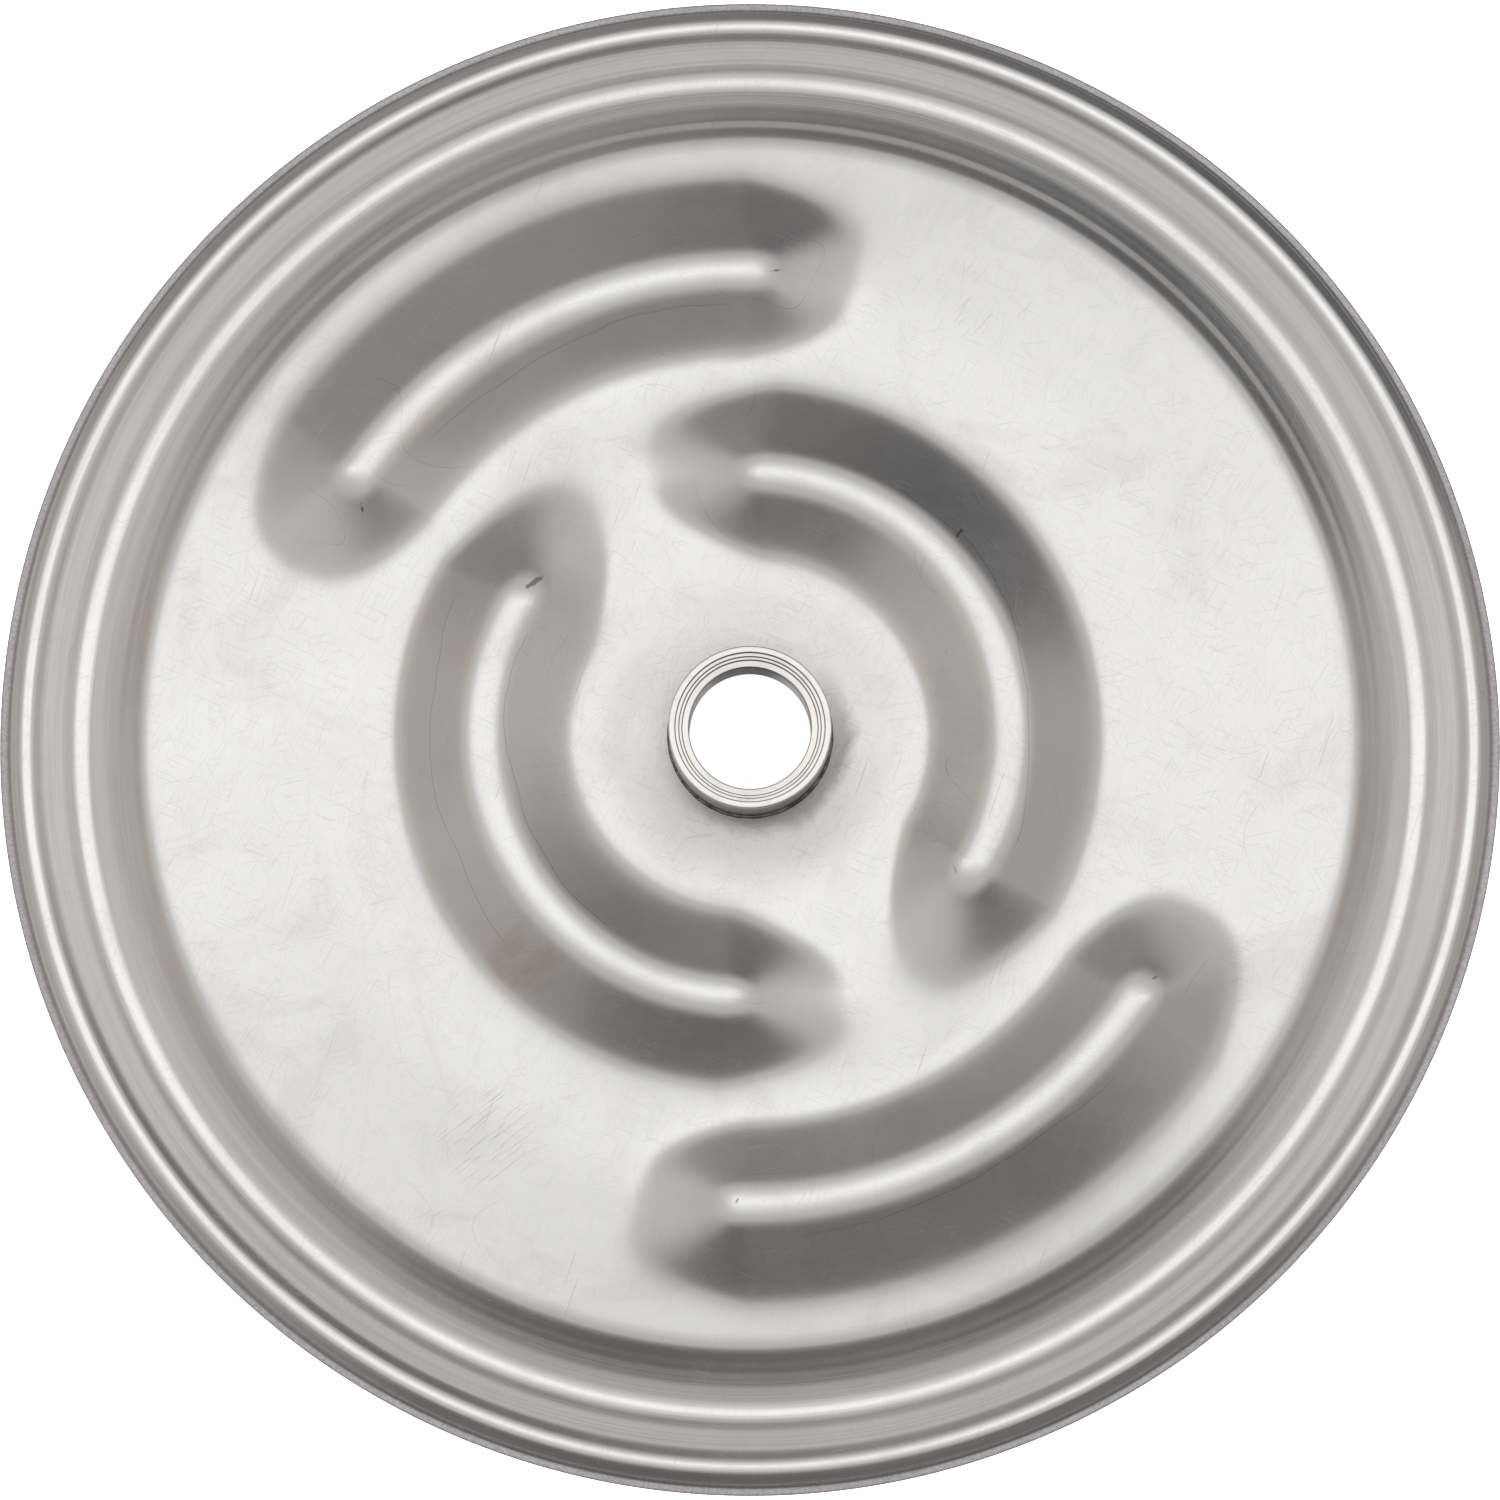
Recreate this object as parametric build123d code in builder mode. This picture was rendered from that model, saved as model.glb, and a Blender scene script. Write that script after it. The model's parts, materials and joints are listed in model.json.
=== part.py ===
from build123d import *
from math import atan2, cos, degrees, pi, radians, sin, tan
import os

# Banding wheel: a pressed steel wheel head that spins on a hollow spindle in a cast base.
# Millimetres, +Z up along the spin axis, origin on the axis at the level the feet stand on.

# Wheel head, a pressing of one even thickness; every rise is above the trimmed lip
sheet = 1.5
rim_radius = 150.0
lip_z = 88.5
lip_rise = 0.2
land_radius = 38.0              # flat land around the hub
land_rise = 11.0
dish_radius = 90.0
dish_rise = 9.6
shoulder_radius = 121.7
shoulder_rise = 8.0
wall_radius = 124.6             # foot of the short steep wall under the shoulder
wall_rise = 4.6
valley_radius = 134.3
valley_rise = 0.5
ledge_radius = 141.5            # where the outer flank steepens towards the bead
ledge_rise = 4.05
bead_radius = 146.1
bead_rise = 7.0                 # where the bead's two flanks would meet before they are bent
lip_radius = 148.9

# Raised arc pads of the head: middle radius, crest above the lip, half the crest's angle, middle angle
inner_pad = {"radius": 52.1, "crest": 17.6, "half_span": 57.0, "middle": 27.5}
outer_pad = {"radius": 92.6, "crest": 16.6, "half_span": 27.5, "middle": 117.75}
pad_slope = 28.0                # wall of a pad from the horizontal
pad_flat = 1.6                  # half the width of a pad's crest before it is rounded
pad_round = 5.5
pad_root_rise = 5.0             # where the pad forms start, inside the metal

# Hub collar
collar_radius = 16.0
collar_height = 16.5            # above the land
collar_edge = 0.4
bore_radius = 12.0
bore_length = 12.5
counterbore_radius = 14.6
mouth_steps = [(14.9, 0.7), (14.3, 1.2), (13.4, 2.0)]   # radius of each step, depth below the top
hub_weld_leg = 1.2
flange_weld_leg = 1.8
weld_bulge = 0.62               # how far a bead stands out at 45 degrees, as a share of its leg

# Spindle
spindle_bore = 24.0
journal_radius = 27.5
spindle_step = 30.0
flange_radius = 33.0
flange_thick = 5.0
spindle_bottom = 14.0
spindle_edge = 1.0

# Ball bearings, two alike
race_radius = 40.0
race_width = 13.0
ball_radius = 3.75
ball_gap = 0.12
ball_count = 16
pitch_radius = 33.75
shoulder_step = 2.3             # race shoulders from the pitch circle
shield_thick = 0.5
shield_gap = 0.6
shield_play = 0.4
cage_width = 9.4
cage_inner = 32.3
cage_outer = 35.2
upper_bearing_z = 68.0
lower_bearing_z = 30.0
bearing_land = 36.8             # shoulder in the housing between the two bearings
race_edge = 0.4
spacer_radius = 30.5
washer_radius = 32.0
washer_thick = 1.5
washer_tooth_count = 11
nut_radius = 35.0
nut_height = 10.0
nut_slot_count = 4

# Housing, covers and seal
housing_radius = 48.0
housing_flange_radius = 66.0
housing_flange_z = 50.0
housing_flange_thick = 6.0
cover_thick = 4.0
upper_cover_bore = 32.0
lower_cover_bore = 36.5
cover_screw_circle = 44.0
cover_screw_count = 6
cover_screw_radius = 2.0
cover_screw_length = 11.0
countersink_radius = 3.6
countersink_depth = 1.6
cover_hex_radius = 1.45
cover_hex_depth = 1.2
housing_screw_circle = 58.0
housing_screw_count = 6
housing_screw_start = 30
housing_screw_radius = 3.0
housing_screw_head = 5.0
housing_screw_length = 14.0
hex_share = 0.95                # socket across its corners, as a share of the shank
screw_washer_radius = 5.6
screw_washer_thick = 1.2
seal_gap = 0.4
seal_body_radius = 34.5
seal_lip_radius = 39.5
seal_root_radius = 33.5
seal_height = 5.6
seal_lip_rise = 2.8
seal_lip_thick = 0.8
seal_root_rise = 1.6

# Base and feet
base_radius = 108.0
foot_height = 10.0
foot_radius = 13.0
foot_circle = 92.0
foot_count = 4
foot_start = 45
foot_inset = 2.0                # foot narrower at its top than at its middle
foot_edge = 1.0
foot_recess_radius = 6.0
foot_recess = 5.0
foot_screw_radius = 2.5
foot_screw_length = 10.0
foot_head_radius = 4.6
foot_head_thick = 2.6
foot_head_edge = 0.8
foot_cross_long = 5.0
foot_cross_wide = 0.9
foot_cross_deep = 1.4
base_rim = 8.0
base_rim_height = 6.0
base_roof = 8.0                 # thickness of the casting under the housing's flange
base_gap = 0.3
base_skirt_radius = 92.0
base_neck_radius = 77.0
base_top_radius = 70.0
base_neck_drop = 9.0
hollow_top_radius = 66.0
hollow_neck_radius = 71.0
hollow_skirt_radius = 84.0
foot_pad_radius = 76.0

land_z = lip_z + land_rise
sheet_under_land = land_z - sheet
collar_top = land_z + collar_height
collar_bottom = sheet_under_land - flange_thick
housing_top = upper_bearing_z + race_width


def corners_of_head():
    """Corners of the pressing's top outline, from the axis outward, with their bend radii."""
    return [
        ((0, land_rise), 0),
        ((land_radius, land_rise), 150),
        ((dish_radius, dish_rise), 300),
        ((shoulder_radius, shoulder_rise), 4),
        ((wall_radius, wall_rise), 5),
        ((valley_radius, valley_rise), 5),
        ((ledge_radius, ledge_rise), 9),
        ((bead_radius, bead_rise), 2.9),
        ((lip_radius, lip_rise), 0.7),
        ((rim_radius, lip_rise), 0),
    ]


def moved_down_square(corners, thickness):
    """The same outline, moved down at right angles to itself by the sheet's thickness."""
    points = [point for point, bend in corners]
    bends = [bend for point, bend in corners]
    slopes = []
    for start, end in zip(points, points[1:]):
        slopes.append(atan2(end[1] - start[1], end[0] - start[0]))
    moved = [((points[0][0], points[0][1] - thickness), 0)]
    for index in range(1, len(points) - 1):
        before, after = slopes[index - 1], slopes[index]
        middle = (before + after) / 2
        reach = thickness / cos((after - before) / 2)
        x = points[index][0] + reach * sin(middle)
        y = points[index][1] - reach * cos(middle)
        hollow = after > before
        bend = bends[index] + thickness if hollow else max(bends[index] - thickness, 0.2)
        moved.append(((x, y), bend))
    moved.append(((rim_radius + 2, points[-1][1] - thickness), 0))
    return moved


def head_form(corners, drop):
    """Solid block under the head's outline with its four pads; drop lowers the pads."""
    floor = lip_z - 12
    points = [(x, lip_z + y) for (x, y), bend in corners]
    bends = [bend for point, bend in corners[1:-1]]
    with BuildPart() as form:
        with BuildSketch(Plane.XZ):
            with BuildLine():
                FilletPolyline(*points, radius=bends)
                Polyline(points[-1], (points[-1][0], floor), (0, floor), points[0])
            make_face()
        revolve(axis=Axis.Z)
        for pad in (inner_pad, outer_pad):
            height = pad["crest"] - pad_root_rise
            root_half_width = pad_flat + height / tan(radians(pad_slope))
            root_z = lip_z + pad_root_rise - drop
            crest_z = root_z + height
            for turn in (0, 180):
                start = pad["middle"] - pad["half_span"] + turn
                with BuildLine(mode=Mode.PRIVATE) as middle_line:
                    CenterArc((0, 0), pad["radius"], start, 2 * pad["half_span"])
                for z, half_width in ((root_z, root_half_width), (crest_z, pad_flat)):
                    with BuildSketch(Plane.XY.offset(z)):
                        SlotArc(middle_line.edge(), 2 * half_width)
                loft(ruled=True)
            crest_edges = form.edges().filter_by_position(Axis.Z, crest_z - 0.01, crest_z + 0.01)
            fillet(crest_edges, radius=pad_round)
    return form.part


top_form = head_form(corners_of_head(), 0)
under_form = head_form(moved_down_square(corners_of_head(), sheet), sheet)

with BuildPart() as head_disc:
    add(top_form)
    add(under_form, mode=Mode.SUBTRACT)
    with BuildSketch(Plane.XY.offset(collar_bottom)):
        Circle(collar_radius)
    extrude(amount=2 * collar_height, mode=Mode.SUBTRACT)
head_disc.part.label = "head_disc"

with BuildPart() as hub_collar:
    with BuildSketch(Plane.XZ):
        with BuildLine():
            mouth = [(collar_radius - collar_edge, collar_top)]
            depth = 0.0
            for radius, next_depth in mouth_steps:
                mouth.append((radius, collar_top - depth))
                mouth.append((radius, collar_top - next_depth))
                depth = next_depth
            Polyline(
                (collar_radius, collar_bottom),
                (collar_radius, collar_top - collar_edge),
                *mouth,
                (bore_radius, collar_top - depth),
                (bore_radius, collar_top - depth - bore_length),
                (counterbore_radius, collar_top - depth - bore_length),
                (counterbore_radius, collar_bottom),
                close=True,
            )
        make_face()
    revolve(axis=Axis.Z)
hub_collar.part.label = "hub_collar"


def weld_ring(radius, z, up, leg):
    """Bead in the corner between an upright wall of this radius and a level face at z."""
    with BuildPart() as weld:
        with BuildSketch(Plane.XZ):
            with BuildLine():
                toe = (radius + leg, z)
                crown = (radius, z + up * leg)
                Polyline(crown, (radius, z), toe)
                ThreePointArc(toe, (radius + weld_bulge * leg, z + up * weld_bulge * leg), crown)
            make_face()
        revolve(axis=Axis.Z)
    return weld.part


with BuildPart() as hub_weld:
    add(weld_ring(collar_radius, land_z, 1, hub_weld_leg))
hub_weld.part.label = "hub_weld"

with BuildPart() as flange_weld:
    add(weld_ring(flange_radius, sheet_under_land, -1, flange_weld_leg))
flange_weld.part.label = "flange_weld"

with BuildPart() as spindle:
    with BuildSketch(Plane.XZ):
        outline = [
            (spindle_bore, spindle_bottom),
            (journal_radius - spindle_edge, spindle_bottom),
            (journal_radius, spindle_bottom + spindle_edge),
            (journal_radius, housing_top),
            (spindle_step, housing_top),
            (spindle_step, collar_bottom),
            (flange_radius, collar_bottom),
            (flange_radius, sheet_under_land),
            (collar_radius, sheet_under_land),
            (collar_radius, collar_bottom),
            (spindle_bore, collar_bottom),
        ]
        with BuildLine():
            Polyline(*outline, close=True)
        make_face()
    revolve(axis=Axis.Z)
spindle.part.label = "spindle"


def ring(inner, outer, bottom, thickness):
    """Plain ring about the spin axis."""
    with BuildPart() as body:
        with BuildSketch(Plane.XY.offset(bottom)):
            Circle(outer)
            Circle(inner, mode=Mode.SUBTRACT)
        extrude(amount=thickness)
    return body.part


def race(z, inner, outer):
    """Race of a bearing whose lower face is at z; the balls' groove is cut where they run."""
    with BuildPart() as body:
        add(ring(inner, outer, z, race_width))
        chamfer(body.edges().filter_by(GeomType.CIRCLE), length=race_edge)
        with BuildSketch(Plane.XZ):
            with Locations((pitch_radius, z + race_width / 2)):
                Circle(ball_radius + ball_gap)
        revolve(axis=Axis.Z, mode=Mode.SUBTRACT)
    return body.part


def balls(z):
    """Balls of the bearing whose lower face is at z, as separate solids."""
    with BuildPart() as body:
        with Locations((0, 0, z + race_width / 2)):
            with PolarLocations(pitch_radius, ball_count):
                Sphere(ball_radius)
    return body.part


def cage(z):
    """Pressed cage that spaces the balls of the bearing whose lower face is at z."""
    middle = z + race_width / 2
    with BuildPart() as body:
        add(ring(cage_inner, cage_outer, middle - cage_width / 2, cage_width))
        for index in range(ball_count):
            outward = Plane(
                origin=(0, 0, middle),
                x_dir=(0, 0, 1),
                z_dir=(cos(2 * pi * index / ball_count), sin(2 * pi * index / ball_count), 0),
            )
            with BuildSketch(outward.offset(cage_inner - 2)):
                Circle(ball_radius + ball_gap)
            extrude(amount=cage_outer - cage_inner + 4, mode=Mode.SUBTRACT)
    return body.part


def shields(z):
    """Two thin discs that close a bearing, one at each face."""
    inner = pitch_radius - shoulder_step + shield_play
    outer = pitch_radius + shoulder_step
    with BuildPart() as body:
        add(ring(inner, outer, z + shield_gap, shield_thick))
        add(ring(inner, outer, z + race_width - shield_gap - shield_thick, shield_thick))
    return body.part


inner_shoulder = pitch_radius - shoulder_step
outer_shoulder = pitch_radius + shoulder_step

with BuildPart() as upper_inner_race:
    add(race(upper_bearing_z, journal_radius, inner_shoulder))
upper_inner_race.part.label = "upper_inner_race"

with BuildPart() as lower_inner_race:
    add(race(lower_bearing_z, journal_radius, inner_shoulder))
lower_inner_race.part.label = "lower_inner_race"

with BuildPart() as upper_outer_race:
    add(race(upper_bearing_z, outer_shoulder, race_radius))
upper_outer_race.part.label = "upper_outer_race"

with BuildPart() as lower_outer_race:
    add(race(lower_bearing_z, outer_shoulder, race_radius))
lower_outer_race.part.label = "lower_outer_race"

with BuildPart() as upper_balls:
    add(balls(upper_bearing_z))
upper_balls.part.label = "upper_balls"

with BuildPart() as lower_balls:
    add(balls(lower_bearing_z))
lower_balls.part.label = "lower_balls"

with BuildPart() as upper_cage:
    add(cage(upper_bearing_z))
upper_cage.part.label = "upper_cage"

with BuildPart() as lower_cage:
    add(cage(lower_bearing_z))
lower_cage.part.label = "lower_cage"

with BuildPart() as upper_shields:
    add(shields(upper_bearing_z))
upper_shields.part.label = "upper_shields"

with BuildPart() as lower_shields:
    add(shields(lower_bearing_z))
lower_shields.part.label = "lower_shields"

spacer_bottom = lower_bearing_z + race_width
with BuildPart() as inner_spacer:
    add(ring(journal_radius, spacer_radius, spacer_bottom, upper_bearing_z - spacer_bottom))
inner_spacer.part.label = "inner_spacer"

with BuildPart() as lock_washer:
    with BuildSketch(Plane.XY.offset(lower_bearing_z - washer_thick)):
        Circle(washer_radius)
        with PolarLocations(washer_radius, washer_tooth_count):
            Rectangle(3.0, 4.0)
        Circle(journal_radius, mode=Mode.SUBTRACT)
    extrude(amount=washer_thick)
lock_washer.part.label = "lock_washer"

nut_bottom = lower_bearing_z - washer_thick - nut_height
with BuildPart() as locknut:
    with BuildSketch(Plane.XY.offset(nut_bottom)):
        Circle(nut_radius)
        with PolarLocations(nut_radius, nut_slot_count):
            Rectangle(6.0, 7.0, mode=Mode.SUBTRACT)
        Circle(journal_radius, mode=Mode.SUBTRACT)
    extrude(amount=nut_height)
locknut.part.label = "locknut"

with BuildPart() as v_ring_seal:
    seal_bottom = housing_top + cover_thick + seal_gap
    with BuildSketch(Plane.XZ):
        with BuildLine():
            Polyline(
                (spindle_step, seal_bottom + seal_root_rise),
                (spindle_step, seal_bottom + seal_height),
                (seal_body_radius, seal_bottom + seal_height),
                (seal_body_radius, seal_bottom + seal_lip_rise),
                (seal_lip_radius, seal_bottom + seal_lip_thick),
                (seal_lip_radius, seal_bottom),
                (seal_root_radius, seal_bottom + seal_root_rise),
                close=True,
            )
        make_face()
    revolve(axis=Axis.Z)
v_ring_seal.part.label = "v_ring_seal"

with BuildPart() as bearing_housing:
    flange_top = housing_flange_z + housing_flange_thick
    with BuildSketch(Plane.XZ):
        with BuildLine():
            Polyline(
                (race_radius, lower_bearing_z),
                (housing_radius, lower_bearing_z),
                (housing_radius, housing_flange_z),
                (housing_flange_radius, housing_flange_z),
                (housing_flange_radius, flange_top),
                (housing_radius, flange_top),
                (housing_radius, housing_top),
                (race_radius, housing_top),
                (race_radius, upper_bearing_z),
                (bearing_land, upper_bearing_z),
                (bearing_land, spacer_bottom),
                (race_radius, spacer_bottom),
                close=True,
            )
        make_face()
    revolve(axis=Axis.Z)
    root = bearing_housing.edges().filter_by(GeomType.CIRCLE).filter_by(
        lambda edge: abs(edge.radius - housing_radius) < 0.01 and abs(edge.center().Z - flange_top) < 0.01
    )
    fillet(root, radius=4)
    with BuildSketch(Plane.XY.offset(flange_top)):
        with PolarLocations(housing_screw_circle, housing_screw_count, start_angle=housing_screw_start):
            Circle(housing_screw_radius)
    extrude(amount=-housing_flange_thick, mode=Mode.SUBTRACT)
    for face_z, into in ((housing_top, -8), (lower_bearing_z, 8)):
        with BuildSketch(Plane.XY.offset(face_z)):
            with PolarLocations(cover_screw_circle, cover_screw_count):
                Circle(cover_screw_radius)
        extrude(amount=into, mode=Mode.SUBTRACT)
bearing_housing.part.label = "bearing_housing"


def cover(bottom, bore, outer_face):
    """Bearing cover with countersinks on its outer face."""
    with BuildPart() as body:
        add(ring(bore, housing_radius, bottom, cover_thick))
        with BuildSketch(Plane.XY.offset(bottom)):
            with PolarLocations(cover_screw_circle, cover_screw_count):
                Circle(cover_screw_radius)
        extrude(amount=cover_thick, mode=Mode.SUBTRACT)
        up = 1 if outer_face > bottom else -1
        with BuildSketch(Plane.XY.offset(outer_face)):
            with PolarLocations(cover_screw_circle, cover_screw_count):
                Circle(countersink_radius)
        extrude(amount=-up * countersink_depth, taper=45, mode=Mode.SUBTRACT)
    return body.part


def countersunk_screws(face_z, up):
    """Flat-headed screws, heads flush with a cover's outer face."""
    with BuildPart() as body:
        with BuildSketch(Plane.XY.offset(face_z)):
            with PolarLocations(cover_screw_circle, cover_screw_count):
                Circle(countersink_radius)
        extrude(amount=-up * countersink_depth, taper=45)
        with BuildSketch(Plane.XY.offset(face_z - up * countersink_depth)):
            with PolarLocations(cover_screw_circle, cover_screw_count):
                Circle(cover_screw_radius)
        extrude(amount=-up * (cover_screw_length - countersink_depth))
        with BuildSketch(Plane.XY.offset(face_z)):
            with PolarLocations(cover_screw_circle, cover_screw_count):
                RegularPolygon(cover_hex_radius, 6)
        extrude(amount=-up * cover_hex_depth, mode=Mode.SUBTRACT)
    return body.part


with BuildPart() as upper_cover:
    add(cover(housing_top, upper_cover_bore, housing_top + cover_thick))
upper_cover.part.label = "upper_cover"

with BuildPart() as lower_cover:
    add(cover(lower_bearing_z - cover_thick, lower_cover_bore, lower_bearing_z - cover_thick))
lower_cover.part.label = "lower_cover"

with BuildPart() as upper_cover_screws:
    add(countersunk_screws(housing_top + cover_thick, 1))
upper_cover_screws.part.label = "upper_cover_screws"

with BuildPart() as lower_cover_screws:
    add(countersunk_screws(lower_bearing_z - cover_thick, -1))
lower_cover_screws.part.label = "lower_cover_screws"

with BuildPart() as housing_washers:
    with BuildSketch(Plane.XY.offset(flange_top)):
        with PolarLocations(housing_screw_circle, housing_screw_count, start_angle=housing_screw_start):
            Circle(screw_washer_radius)
            Circle(housing_screw_radius, mode=Mode.SUBTRACT)
    extrude(amount=screw_washer_thick)
housing_washers.part.label = "housing_washers"

with BuildPart() as housing_screws:
    seat = flange_top + screw_washer_thick
    head_height = 2 * housing_screw_radius
    with BuildSketch(Plane.XY.offset(seat)):
        with PolarLocations(housing_screw_circle, housing_screw_count, start_angle=housing_screw_start):
            Circle(housing_screw_head)
    extrude(amount=head_height)
    chamfer(housing_screws.edges().filter_by(GeomType.CIRCLE).group_by(Axis.Z)[-1], length=race_edge)
    with BuildSketch(Plane.XY.offset(seat)):
        with PolarLocations(housing_screw_circle, housing_screw_count, start_angle=housing_screw_start):
            Circle(housing_screw_radius)
    extrude(amount=-housing_screw_length)
    with BuildSketch(Plane.XY.offset(seat + head_height)):
        with PolarLocations(housing_screw_circle, housing_screw_count, start_angle=housing_screw_start):
            RegularPolygon(housing_screw_radius * hex_share, 6)
    extrude(amount=-head_height / 2, mode=Mode.SUBTRACT)
housing_screws.part.label = "housing_screws"

with BuildPart() as base_casting:
    top = housing_flange_z
    rim_top = foot_height + base_rim_height
    bore = housing_radius + base_gap
    with BuildSketch(Plane.XZ):
        with BuildLine():
            FilletPolyline(
                (base_radius - base_rim, foot_height),
                (base_radius, foot_height),
                (base_radius, rim_top),
                (base_skirt_radius, rim_top + 3),
                (base_neck_radius, top - base_neck_drop),
                (base_top_radius, top),
                (bore, top),
                radius=[1.5, 2.5, 12, 10, 2.5],
            )
            Polyline(
                (bore, top),
                (bore, top - base_roof),
                (hollow_top_radius, top - base_roof),
                (hollow_neck_radius, top - base_roof - 5),
                (hollow_skirt_radius, rim_top),
                (foot_pad_radius, rim_top),
                (foot_pad_radius, foot_height),
                (base_radius - base_rim, foot_height),
            )
        make_face()
    revolve(axis=Axis.Z)
    with BuildSketch(Plane.XY.offset(top)):
        with PolarLocations(housing_screw_circle, housing_screw_count, start_angle=housing_screw_start):
            Circle(housing_screw_radius)
    extrude(amount=-base_roof, mode=Mode.SUBTRACT)
    with BuildSketch(Plane.XY.offset(foot_height)):
        with PolarLocations(foot_circle, foot_count, start_angle=foot_start):
            Circle(foot_screw_radius)
    extrude(amount=foot_screw_length - foot_recess, mode=Mode.SUBTRACT)
base_casting.part.label = "base_casting"

with BuildPart() as rubber_feet:
    with BuildSketch(Plane.XY.offset(foot_height)):
        with PolarLocations(foot_circle, foot_count, start_angle=foot_start):
            Circle(foot_radius - foot_inset)
    extrude(amount=-foot_height, taper=-degrees(atan2(foot_inset, foot_height)))
    chamfer(rubber_feet.edges().filter_by(GeomType.CIRCLE).group_by(Axis.Z)[0], length=foot_edge)
    with BuildSketch(Plane.XY):
        with PolarLocations(foot_circle, foot_count, start_angle=foot_start):
            Circle(foot_recess_radius)
    extrude(amount=foot_recess, mode=Mode.SUBTRACT)
    with BuildSketch(Plane.XY):
        with PolarLocations(foot_circle, foot_count, start_angle=foot_start):
            Circle(foot_screw_radius)
    extrude(amount=foot_height, mode=Mode.SUBTRACT)
rubber_feet.part.label = "rubber_feet"

with BuildPart() as foot_screws:
    with BuildSketch(Plane.XY.offset(foot_recess)):
        with PolarLocations(foot_circle, foot_count, start_angle=foot_start):
            Circle(foot_head_radius)
    extrude(amount=-foot_head_thick)
    chamfer(foot_screws.edges().filter_by(GeomType.CIRCLE).group_by(Axis.Z)[0], length=foot_head_edge)
    with BuildSketch(Plane.XY.offset(foot_recess)):
        with PolarLocations(foot_circle, foot_count, start_angle=foot_start):
            Circle(foot_screw_radius)
    extrude(amount=foot_screw_length)
    with BuildSketch(Plane.XY.offset(foot_recess - foot_head_thick)):
        with PolarLocations(foot_circle, foot_count, start_angle=foot_start):
            Rectangle(foot_cross_long, foot_cross_wide)
            Rectangle(foot_cross_wide, foot_cross_long)
    extrude(amount=foot_cross_deep, mode=Mode.SUBTRACT)
foot_screws.part.label = "foot_screws"

finished = [
    head_disc, hub_collar, hub_weld, flange_weld, spindle, v_ring_seal,
    upper_inner_race, lower_inner_race, inner_spacer, lock_washer, locknut,
    upper_balls, upper_cage, lower_balls, lower_cage,
    upper_outer_race, lower_outer_race, upper_shields, lower_shields,
    bearing_housing, upper_cover, lower_cover, upper_cover_screws, lower_cover_screws,
    housing_washers, housing_screws, base_casting, rubber_feet, foot_screws,
]
os.makedirs("parts", exist_ok=True)
for piece in finished:
    export_step(piece.part, f"parts/{piece.part.label}.step")
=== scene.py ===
import json
import math

import bpy
import numpy as np
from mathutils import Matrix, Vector


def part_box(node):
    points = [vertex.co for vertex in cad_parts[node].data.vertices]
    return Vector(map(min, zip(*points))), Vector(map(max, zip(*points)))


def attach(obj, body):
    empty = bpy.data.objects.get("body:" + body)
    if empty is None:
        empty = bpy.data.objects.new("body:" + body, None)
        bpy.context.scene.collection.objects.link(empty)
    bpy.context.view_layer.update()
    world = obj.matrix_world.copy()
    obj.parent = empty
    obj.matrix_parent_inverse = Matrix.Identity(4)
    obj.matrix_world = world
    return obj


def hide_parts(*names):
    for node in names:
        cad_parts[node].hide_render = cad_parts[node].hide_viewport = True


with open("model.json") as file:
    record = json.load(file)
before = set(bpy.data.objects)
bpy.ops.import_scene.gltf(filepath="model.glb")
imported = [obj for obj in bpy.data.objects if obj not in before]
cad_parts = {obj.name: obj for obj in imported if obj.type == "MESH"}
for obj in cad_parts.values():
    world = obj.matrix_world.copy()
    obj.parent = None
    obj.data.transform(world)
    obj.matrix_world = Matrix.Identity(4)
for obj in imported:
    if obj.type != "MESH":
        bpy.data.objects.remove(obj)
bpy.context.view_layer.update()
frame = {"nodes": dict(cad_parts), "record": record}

MM = 0.001
TURN = 2 * math.pi

# Levels and radii of the object, in millimetres, read from the frame
disc_low, disc_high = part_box("head_disc")
collar_low, collar_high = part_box("hub_collar")
weld_low, weld_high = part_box("hub_weld")
sheet = 1.5
rim_radius = disc_high.x / MM
lip_z = disc_low.z / MM + sheet - 0.2
collar_radius = collar_high.x / MM
collar_top = collar_high.z / MM
collar_bottom = collar_low.z / MM
land_rise = weld_low.z / MM - lip_z
weld_leg = (weld_high.z - weld_low.z) / MM
bore_radius = frame["record"]["mounts"][0]["dims"]["r_mm"]
bore_length = frame["record"]["mounts"][0]["dims"]["length_mm"]


# ---------------------------------------------------------------- outlines and meshes

def rounded(corners, steps=9):
    """Outline through the corners, each bent to its radius: ((x, y), radius), ... -> points."""
    points = [np.array(corners[0][0], float)]
    for (before, _), (corner, radius), (after, _) in zip(corners, corners[1:], corners[2:]):
        corner = np.array(corner, float)
        back = np.array(before, float) - corner
        ahead = np.array(after, float) - corner
        back /= np.linalg.norm(back)
        ahead /= np.linalg.norm(ahead)
        half = math.acos(np.clip(back @ ahead, -1, 1)) / 2
        if radius <= 0 or half > math.pi / 2 - 1e-4:
            points.append(corner)
            continue
        reach = radius / math.tan(half)
        middle = (back + ahead) / np.linalg.norm(back + ahead)
        centre = corner + middle * radius / math.sin(half)
        start = corner + back * reach - centre
        end = corner + ahead * reach - centre
        sweep = math.atan2(start[0] * end[1] - start[1] * end[0], start @ end)
        for k in range(steps + 1):
            a = sweep * k / steps
            turn = np.array([[math.cos(a), -math.sin(a)], [math.sin(a), math.cos(a)]])
            points.append(centre + turn @ start)
    points.append(np.array(corners[-1][0], float))
    return np.array(points)


def mesh_object(name, verts, faces, material):
    """A smooth-shaded mesh in the scene; vertices in metres."""
    mesh = bpy.data.meshes.new(name)
    mesh.from_pydata([tuple(v) for v in verts], [], faces)
    mesh.update()
    mesh.materials.append(material)
    mesh.polygons.foreach_set("use_smooth", [True] * len(mesh.polygons))
    piece = bpy.data.objects.new(name, mesh)
    bpy.context.scene.collection.objects.link(piece)
    return piece


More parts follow.
